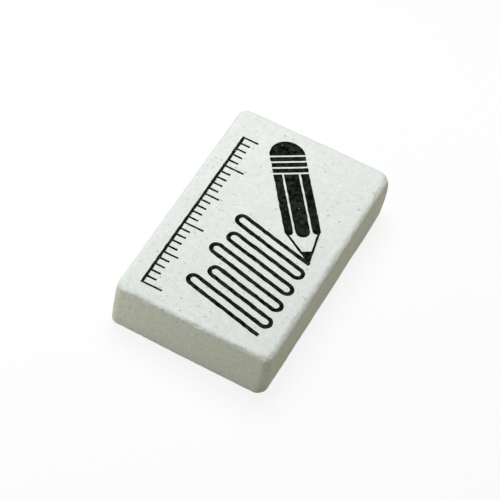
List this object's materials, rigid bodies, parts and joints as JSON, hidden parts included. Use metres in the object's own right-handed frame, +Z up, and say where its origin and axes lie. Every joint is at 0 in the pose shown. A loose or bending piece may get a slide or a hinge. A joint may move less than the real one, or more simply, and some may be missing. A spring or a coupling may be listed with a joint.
{
  "type": "block eraser",
  "caption": "Small rectangular block eraser of soft white rubber with tumbled round edges and a plain drawing printed in black on its top face.",
  "frame": {"origin": "middle of the base, on the surface the eraser lies on", "axes": "+X along the block, +Y across it towards the edge with the printed scale, +Z up through the printed face"},
  "size_m": [0.032, 0.0194, 0.0067],
  "materials": {
    "rubber": "matte, slightly chalky white rubber",
    "ink": "flat black printing ink"
  },
  "bodies": {
    "root": {"eraser_block": "rubber", "top_print": "ink"}
  },
  "joints": []
}
